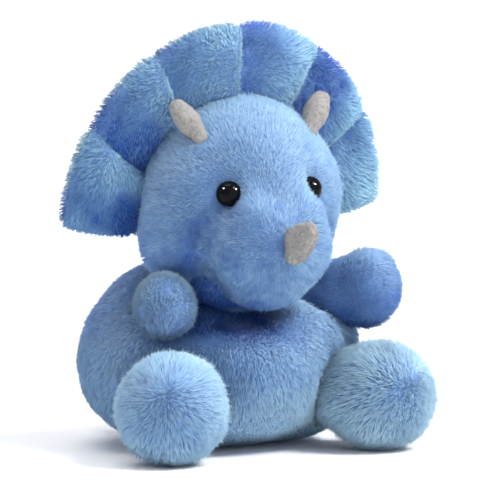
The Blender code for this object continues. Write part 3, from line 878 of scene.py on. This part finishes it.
def make_frill():
    turns = np.linspace(-1, 1, FRILL_COLUMNS + 1)
    rises = 1 - (1 - np.linspace(0, 1, FRILL_ROWS + 1)) ** 1.35
    turn, rise = np.meshgrid(turns, rises, indexing="ij")
    middle_points = frill_middle(turn, rise, frill_foot(turns, bpy.data.objects["head_plush"])[:, None])
    front = middle_points - np.stack((0 * turn, frill_half(turn, rise, True), 0 * turn), axis=-1)
    back = middle_points + np.stack((0 * turn, frill_half(turn, rise, False), 0 * turn), axis=-1)
    rows = FRILL_ROWS + 1
    verts = np.concatenate((front.reshape(-1, 3), back.reshape(-1, 3))) * MM + np.array(HEAD_CENTRE)
    start = np.arange(FRILL_COLUMNS)[:, None] * rows + np.arange(FRILL_ROWS)[None]
    quads = np.stack((start, start + 1, start + rows + 1, start + rows), axis=-1).reshape(-1, 4)
    other = len(verts) // 2
    foot = np.arange(FRILL_COLUMNS) * rows
    foot_strip = np.stack((foot, foot + rows, foot + rows + other, foot + other), axis=-1)
    faces = np.concatenate((quads, quads[:, ::-1] + other, foot_strip))
    skin = linked("frill_plush", mesh_from("frill_plush", verts, faces))
    bm = bmesh.new()
    bm.from_mesh(skin.data)
    bmesh.ops.remove_doubles(bm, verts=bm.verts, dist=0.02 * MM)
    bmesh.ops.recalc_face_normals(bm, faces=bm.faces)
    bm.to_mesh(skin.data)
    bm.free()
    skin.data.shade_smooth()
    relax(skin.data, 2)
    finished(skin, BACKING)
    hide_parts("frill_front", "frill_back", "frill_wadding")
    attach(skin, "frill")
    centre = np.array(HEAD_CENTRE) / MM

    def comb(p, n):
        out = (p - centre) * (1, 0, 1)
        reach = np.linalg.norm(out, axis=1, keepdims=True)
        radial = out / reach
        round_way = np.stack((radial[:, 2], 0 * reach[:, 0], -radial[:, 0]), axis=1)
        round_way = round_way * np.sign(p[:, :1] - centre[0] + 1e-9)
        rim = smooth_step(reach[:, 0], 40, 46)[:, None]
        return radial * (0.35 + 0.8 * rim) + round_way * (0.75 - 0.35 * rim) + np.array((0, 0, -0.25))

    def turn_of(p):
        off = (p - centre) * (1, 0, 1)
        reach = np.linalg.norm(off, axis=1)
        angle = np.degrees(np.arctan2(off[:, 0], off[:, 2]))
        span = frill_span(angle / FRILL_SPAN, np.clip((reach - 29) / 20, 0, 1))
        return np.clip(angle / span, -0.999, 0.999), reach

    # Painted light and shade on the frill: each pleat is painted paler towards its crest and darker in its
    # fold. There is painted shade at the sides near the head, paler pile towards the left tip and slightly
    # darker pile at the rim. The noise terms are the pile's own random tone.
    def nap_and_painted_light(p, n):
        turn, reach = turn_of(p)
        phase = pleat_phase(turn)
        inside = smooth_step(1 - np.abs(turn), 0.01, 0.06)
        crest = 0.5 * smooth_step(phase, 0.25, 0.7) + smooth_step(phase, 0.55, 0.92)
        fold = (np.exp(-(phase / 0.34) ** 2) + np.exp(-((phase - 1.0) / 0.03) ** 2)) * inside
        shade = np.where(turn < 0, 3.6, 0.0)
        foot = (1 - smooth_step(reach - shade, 30.5, 35.5)) * smooth_step(np.abs(turn), 0.25, 0.6)
        tip = smooth_step(turn, 0.55, 0.9)
        pleat = np.floor(FRILL_PLEATS * (turn + 1) / 2).astype(int)
        return (0.36 + np.array(PLEAT_PAINTED_LIGHT)[pleat] + 0.48 * crest - 0.30 * fold - 0.40 * foot + 0.34 * tip
                - 0.04 * smooth_step(reach, 39, 45) + 0.18 * noise(p, 8.0, 92) + 0.16 * noise(p, 3.2, 93))

    def length(p, n):
        turn, reach = turn_of(p)
        phase = pleat_phase(turn)
        fold = np.maximum(np.exp(-(phase / 0.05) ** 2), np.exp(-((phase - 1.0) / 0.05) ** 2))
        return (1.8 + 0.9 * smooth_step(reach, 40, 47)) * (1 - 0.5 * fold)

    def grows(front_side):
        def keep(p, n):
            reach = np.linalg.norm((p - centre) * (1, 0, 1), axis=1)
            facing = n[:, 1] < 0.15
            return (facing if front_side else ~facing) & (reach > 28.0)
        return keep

    for side, density, seed in (("front", 6.0, 41), ("back", 4.5, 42)):
        pile = plant("frill_pile_" + side, skin, density, length, 0.15, 60, comb, FRILL_PILE, seed,
                     grows(side == "front"), clump=1.0, pull=0.4, wander=0.4, soft=0.88, nap_and_painted_light=nap_and_painted_light)
        sort_in(pile, "frill")


# Body ------------------------------------------------------

# Swellings and dents, as for the head.
BODY_SIDES = (
    ((30, -20.5, 34), (11, 11, 9), 3.0),        # between arm and leg
    ((13, -27.5, 49), (9, 7, 7), 1.0),          # chest
    ((19, 0.5, 60.5), (9, 8, 6), 2.4),          # shoulder
    ((20, -26.5, 8), (14, 10, 7), 2.2),         # low, inside the leg
)
BODY_SPOTS = (
    ((-31, -8.0, 41), (8, 9, 7), 2.2),          # beside the right arm
    ((38, -14.0, 33), (10, 12, 9), 5.0),        # under the left arm
    ((29, -8.0, 6), (11, 12, 7), 4.0),          # behind the left leg
    ((-9, -25.5, 48), (14, 10, 8), -9.0),       # hollow of the chest, to the right
    ((15, -20.0, 54), (8, 8, 6), 2.4),          # top of the chest, to the left
)
BODY_FRONT = 4              # the front's denser pile ends this far in front of the body's heart


def make_body():
    skin = cast_form("body_plush", "body_cover", BODY_HEART, 1.2, rounds=70)
    stuffed(skin, 2.2, 5.0, 0.6, floor=SKIN_GAP)
    sculpt(skin, BODY_SIDES, signs=(-1, 1))
    sculpt(skin, BODY_SPOTS)
    finished(skin, BACKING)
    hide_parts("body_cover", "body_stuffing")
    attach(skin, "torso")
    heart = np.array(BODY_HEART) / MM

    def comb(p, n):
        out = (p - heart) * (1, 1, 0)
        return np.array((0, 0, -1.0)) + unit(out) * 0.35

    def length(p, n):
        return 2.5 - 1.7 * smooth_step(-n[:, 2], 0.35, 0.9)

    # Painted light and shade on the body: paler low on the front and on the chest to the left. Painted shade
    # high up under the head, in the hollow of the chest to the right and over the back. The noise terms are
    # the pile's own random tone.
    def nap_and_painted_light(p, n):
        front = smooth_step(-p[:, 1], 4, 16)
        low = 1 - smooth_step(p[:, 2], 10, 26)
        high = smooth_step(p[:, 2], 32, 44)
        chest = np.exp(-(((p[:, 0] - 13) / 9) ** 2 + ((p[:, 2] - 48) / 9) ** 2)) * front
        hollow = np.exp(-((p[:, 0] + 9) / 16) ** 2) * smooth_step(p[:, 2], 31, 38) * front
        back = 1 - smooth_step(-p[:, 1], -14, 2)
        return (0.5 + 0.46 * low * front - 0.12 * high + 0.42 * chest - 0.7 * hollow - 0.14 * back
                + 0.08 * noise(p, 9.0, 95) + 0.05 * noise(p, 3.0, 96))

    zones = (
        ("body_pile_front", lambda p, n: p[:, 1] < heart[1] - BODY_FRONT, 6.0, 51),
        ("body_pile_back", lambda p, n: p[:, 1] >= heart[1] - BODY_FRONT, 4.4, 52),
    )
    for name, zone, density, seed in zones:
        pile = plant(name, skin, density, length, 0.145, 62, comb, PLUSH_PILE, seed,
                     lambda p, n, zone=zone: zone(p, n) & (p[:, 2] > 0.8), clump=1.0, pull=0.35, wander=0.3,
                     nap_and_painted_light=nap_and_painted_light)
        sort_in(pile, "torso")


# Each arm's swellings and dents, from a spot near the paw's tip.
MITTEN = (((4.0, -1.0, 8.0), (7.0, 8.0, 6.0), 1.8), ((1.0, 0.0, -9.0), (8.0, 8.0, 6.0), 1.4))
DIMPLED = (((-8.0, -3.0, -3.5), (1.8, 2.2, 4.0), -1.8), ((1.0, 2.0, 9.0), (7.0, 7.0, 5.0), 1.4))
SIDES = (
    # side, leg's seed, arm's seed, how pale the sole and the arm are painted as painted light and shade, paw
    ("left", 61, 63, 0.86, 0.24, MITTEN),
    ("right", 62, 64, 0.60, 0.53, DIMPLED),
)


def make_limb(name, inset, density, length, width, clump, pull, lean, comb, seed, nap_and_painted_light, floor=None,
              moves=(), origin=(0, 0, 0)):
    """A stuffed limb, sewn to the body at its root."""
    heart = middle(name + "_cover")
    skin = cast_form(name + "_plush", name + "_cover", heart, inset, rounds=8, level=5)
    stuffed(skin, 1.6, 5.0, 0.4, floor)
    sculpt(skin, moves, origin)
    finished(skin, BACKING)
    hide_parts(name + "_cover", name + "_stuffing")
    pile = plant(name + "_pile", skin, density, length, width, lean, comb, PLUSH_PILE, seed,
                 lambda p, n: p[:, 2] > 0.6, clump=clump, pull=pull, nap_and_painted_light=nap_and_painted_light)
    for piece in [skin] + pile:
        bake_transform(piece)


def make_limbs():
    for side, leg_seed, arm_seed, sole_painted_lightness, arm_painted_lightness, moves in SIDES:
        foot = middle(f"leg_{side}_cover")
        out = (foot - pivot(f"leg_{side}_spread")).normalized()
        sole = np.array(foot) / MM + np.array(out) * 13 + (0, -3, 2)

        def radiate(p, n, sole=sole):
            away = np.linalg.norm(p - sole, axis=1, keepdims=True)
            return unit(p - sole) * smooth_step(away, 1, 12) + np.array((0.1, 0, -0.45))

        # Painted light and shade on the foot: the sole's painted lightness, paler in a ring round it and
        # darker further off. The noise terms are the pile's own random tone.
        def paint_foot_light(p, n, sole=sole, sole_painted_lightness=sole_painted_lightness):
            away = np.linalg.norm(p - sole, axis=1)
            return (sole_painted_lightness + 0.17 * smooth_step(away, 8, 18) - 0.10 * smooth_step(away, 24, 32)
                    + 0.08 * noise(p, 6.0, 97) + 0.06 * noise(p, 2.4, 98))

        make_limb("leg_" + side, 1.2, 6.5, 2.8, 0.14, 1.1, 0.4, 52, radiate,
                  leg_seed, paint_foot_light, floor=SKIN_GAP)
        paw = np.array(middle(f"arm_{side}_cover") - pivot(f"arm_{side}_swing"))
        paw = paw / np.linalg.norm(paw)
        tip = np.array(middle(f"arm_{side}_cover")) / MM + paw * 5

        # Painted light and shade on the arm: paler on top, painted shade underneath. The noise terms are the
        # pile's own random tone.
        def paint_arm_light(p, n, tip=tip, arm_painted_lightness=arm_painted_lightness):
            low = smooth_step(tip[2] - p[:, 2], -4, 9)
            return (arm_painted_lightness + 0.22 * smooth_step(p[:, 2] - tip[2], 2, 10) - 0.12 * low
                    + 0.10 * noise(p, 5.0, 99) + 0.05 * noise(p, 2.2, 100))

        make_limb("arm_" + side, 1.1, 7.0, 2.0, 0.13, 0.9, 0.35, 55,
                  lambda p, n, paw=paw: np.tile(paw, (len(p), 1)) + np.array((0, 0, -0.5)),
                  arm_seed, paint_arm_light, moves=moves, origin=tip)
    make_limb("tail", 1.1, 5.0, 2.4, 0.15, 1.1, 0.4, 56,
              lambda p, n: np.tile((0.0, 1.0, -0.35), (len(p), 1)), 65, None)


# Inside and small pieces -----------------------------------

def dress_inside():
    cloth, tree, shader = new_material("bag_cloth", (0.80, 0.79, 0.76), 0.9)
    weave = texture(tree, "ShaderNodeTexWave", Scale=900, Distortion=1.5)
    tint(tree, shader, weave.outputs["Fac"], ((0.2, (0.70, 0.69, 0.66)), (0.8, (0.84, 0.83, 0.80))))
    bump(tree, shader, weave.outputs["Fac"], 0.5, 0.0003)
    pellets, tree, shader = new_material("pellets", (0.72, 0.72, 0.70), 0.4)
    # Each bead is painted paler in its middle and darker towards its rim and the gaps between beads: painted
    # shade.
    beads = texture(tree, "ShaderNodeTexVoronoi", Scale=420)
    tint(tree, shader, beads.outputs["Distance"], ((0.1, (0.80, 0.80, 0.78)), (0.8, (0.45, 0.45, 0.44))))
    bump(tree, shader, beads.outputs["Distance"], 0.9, -0.002)
    washer, tree, shader = new_material("washer_black", (0.05, 0.05, 0.055), 0.5)
    tint(tree, shader, cloudy(tree, 1200.0), ((0.3, (0.04, 0.04, 0.045)), (0.7, (0.06, 0.06, 0.065))))
    looks = {
        "pellet_bag": (cloth, "bag_cloth"), "pellet_fill": (pellets, "pellets"),
        "eye_washer_left": (washer, "washer"), "eye_washer_right": (washer, "washer"),
    }
    for name, (look, slot) in looks.items():
        finished(NODES[name], look)


def make_neck():
    """The neck: a short stuffed tube of plush between the head and the body."""
    centre = pivot("head_nod")
    stem = (centre.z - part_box("neck_stuffing")[0].z) / MM
    profile = [
        (0, 9.5), (5.5, 8.4), (8.6, 5.2), (11.0, 1.0), (15.0, -2.5), (18.5, -5.0), (19.5, -8.5),
        (18.0, -12.0), (13.0, -16.0), (7.6, -18.0), (6.9, -stem + 2), (6.0, -stem + 0.4), (0, -stem + 0.2),
    ]
    neck = lathe("neck_plush", profile, 40, Matrix.Translation(centre))
    subdivided(neck, 2)
    finished(neck, BACKING)
    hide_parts("neck_stuffing")
    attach(neck, "neck")
    middle_z = centre.z / MM
    # The neck's pile is painted at its darkest: painted shade under the head.
    pile = plant("neck_pile", neck, 4.0, 1.8, 0.17, 55, lambda p, n: np.tile((0.0, 0.0, -1.0), (len(p), 1)),
                 PLUSH_PILE, 71, lambda p, n: (p[:, 2] < middle_z + 2) & (p[:, 2] > middle_z - 17),
                 nap_and_painted_light=lambda p, n: np.zeros(len(p)))
    sort_in(pile, "neck")


LABEL_WIDE = 9.0
LABEL_TALL = 12.6
LABEL_FOLD = 0.42           # half way from one of its sides to the other
LABEL_TURN = -28            # degrees


def make_label():
    """A blank satin label, folded double, its two ends sewn into the cover."""
    columns = 13
    rows = 33
    verts, faces = [], []
    for i in range(rows):
        around = math.pi * 2 * (i / (rows - 1))
        side = math.copysign(min(1.0, abs(math.sin(around)) * 2.2), math.sin(around) or 1.0)
        up = -math.cos(around) * LABEL_TALL / 2
        for j in range(columns):
            across = (j / (columns - 1) - 0.5) * LABEL_WIDE
            ripple = 0.25 * math.sin(up * 0.55 + across * 0.3)
            verts.append((side * LABEL_FOLD + ripple, across, up))
    for i in range(rows - 1):
        for j in range(columns - 1):
            a = i * columns + j
            faces.append((a, a + 1, a + columns + 1, a + columns))
    mesh = mesh_from("care_label_satin", np.array(verts) * MM, np.array(faces))
    turn = Matrix.Rotation(math.radians(LABEL_TURN), 4, "Z")
    mesh.transform(Matrix.Translation(middle("care_label")) @ turn)
    label = linked("care_label_satin", mesh)
    thick = label.modifiers.new("thick", "SOLIDIFY")
    thick.thickness = 0.12 * MM
    applied(label)
    satin, tree, shader = new_material("label_satin", (0.90, 0.90, 0.89), 0.35, 0.2)
    weave = texture(tree, "ShaderNodeTexWave", Scale=1500)
    tint(tree, shader, weave.outputs["Fac"], ((0.2, (0.80, 0.80, 0.79)), (0.8, (0.92, 0.92, 0.91))))
    bump(tree, shader, weave.outputs["Fac"], 0.3, 0.0001)
    finished(label, satin)
    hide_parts("care_label")
    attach(label, "torso")


# Studio ----------------------------------------------------

SUNS = (
    # name, where it shines from, how many degrees wide it is, strength
    ("key", (0.40, -0.50, 0.75), 22, 3.0),
    ("top", (-0.10, 0.15, 0.9), 40, 1.45),
    ("fill", (0.10, -0.95, 0.25), 60, 0.7),
)
CATCH_LIGHTS = (
    # name, where it is from the toy's middle in metres, power: seen only as a shine, mostly on the eyes
    ("catch_right", (0.36, -0.33, 0.36), 22),
    ("catch_left", (-0.46, 0.03, 0.44), 18),
)
CAMERA_AZIMUTH, CAMERA_ELEVATION = -29, 6.5      # degrees
CAMERA_AIM = (0, -11.8, 62.1)
VIEW_WIDTH = 141.6          # across the picture, where the camera aims
LENS, SENSOR = 800, 36


def add_light(name, kind, way, energy):
    """A light that shines from the given way."""
    made = bpy.data.objects.new(name, bpy.data.lights.new(name, kind))
    bpy.context.scene.collection.objects.link(made)
    made.data.energy = energy
    made.rotation_euler = Vector(way).to_track_quat("Z", "Y").to_euler()
    return made


def make_studio():
    scene = bpy.context.scene
    scene.view_settings.view_transform = "Standard"
    world = bpy.data.worlds.new("studio")
    scene.world = world
    world.use_nodes = True
    tree = world.node_tree
    background = tree.nodes["Background"]
    background.inputs["Color"].default_value = (0.93, 0.95, 1.0, 1)
    background.inputs["Strength"].default_value = 0.55
    white = node(tree, "ShaderNodeBackground", Color=(1, 1, 1, 1), Strength=1.0)
    # The picture's ground is pure white, though the light from all round is dimmer.
    path = node(tree, "ShaderNodeLightPath")
    mix = node(tree, "ShaderNodeMixShader")
    tree.links.new(path.outputs["Is Camera Ray"], mix.inputs["Fac"])
    tree.links.new(background.outputs["Background"], mix.inputs[1])
    tree.links.new(white.outputs["Background"], mix.inputs[2])
    tree.links.new(mix.outputs["Shader"], tree.nodes["World Output"].inputs["Surface"])
    bm = bmesh.new()
    bmesh.ops.create_circle(bm, cap_ends=True, segments=96, radius=4.0)
    floor = linked("floor", mesh_of("floor", bm))
    look, tree, shader = new_material("floor_paper", (0.95, 0.95, 0.95), 0.9)
    tint(tree, shader, cloudy(tree, 30.0), ((0.3, (0.97,) * 3), (0.7, (0.99,) * 3)))
    floor.data.materials.append(look)
    for name, way, angle, strength in SUNS:
        add_light(name, "SUN", way, strength).data.angle = math.radians(angle)
    for name, off, power in CATCH_LIGHTS:
        light = add_light(name, "AREA", off, power)
        light.data.shape = "DISK"
        light.data.size = 0.10
        light.location = (CAD_BOX[0] + CAD_BOX[1]) / 2 + Vector(off)
        light.visible_diffuse = False
    camera_data = bpy.data.cameras.new("camera")
    camera = bpy.data.objects.new("camera", camera_data)
    scene.collection.objects.link(camera)
    azimuth, elevation = math.radians(CAMERA_AZIMUTH), math.radians(CAMERA_ELEVATION)
    level = math.cos(elevation)
    back = Vector((math.sin(azimuth) * level, -math.cos(azimuth) * level, math.sin(elevation)))
    camera_data.lens = LENS
    camera_data.sensor_width = SENSOR
    camera.location = (Vector(CAMERA_AIM) + back * VIEW_WIDTH * LENS / SENSOR) * MM
    camera.rotation_euler = (-back).to_track_quat("-Z", "Y").to_euler()
    camera_data.clip_start, camera_data.clip_end = 0.01, 20
    scene.camera = camera


make_head()
make_eyes()
make_horns()
make_frill()
make_body()
make_limbs()
make_neck()
dress_inside()
make_label()
make_studio()
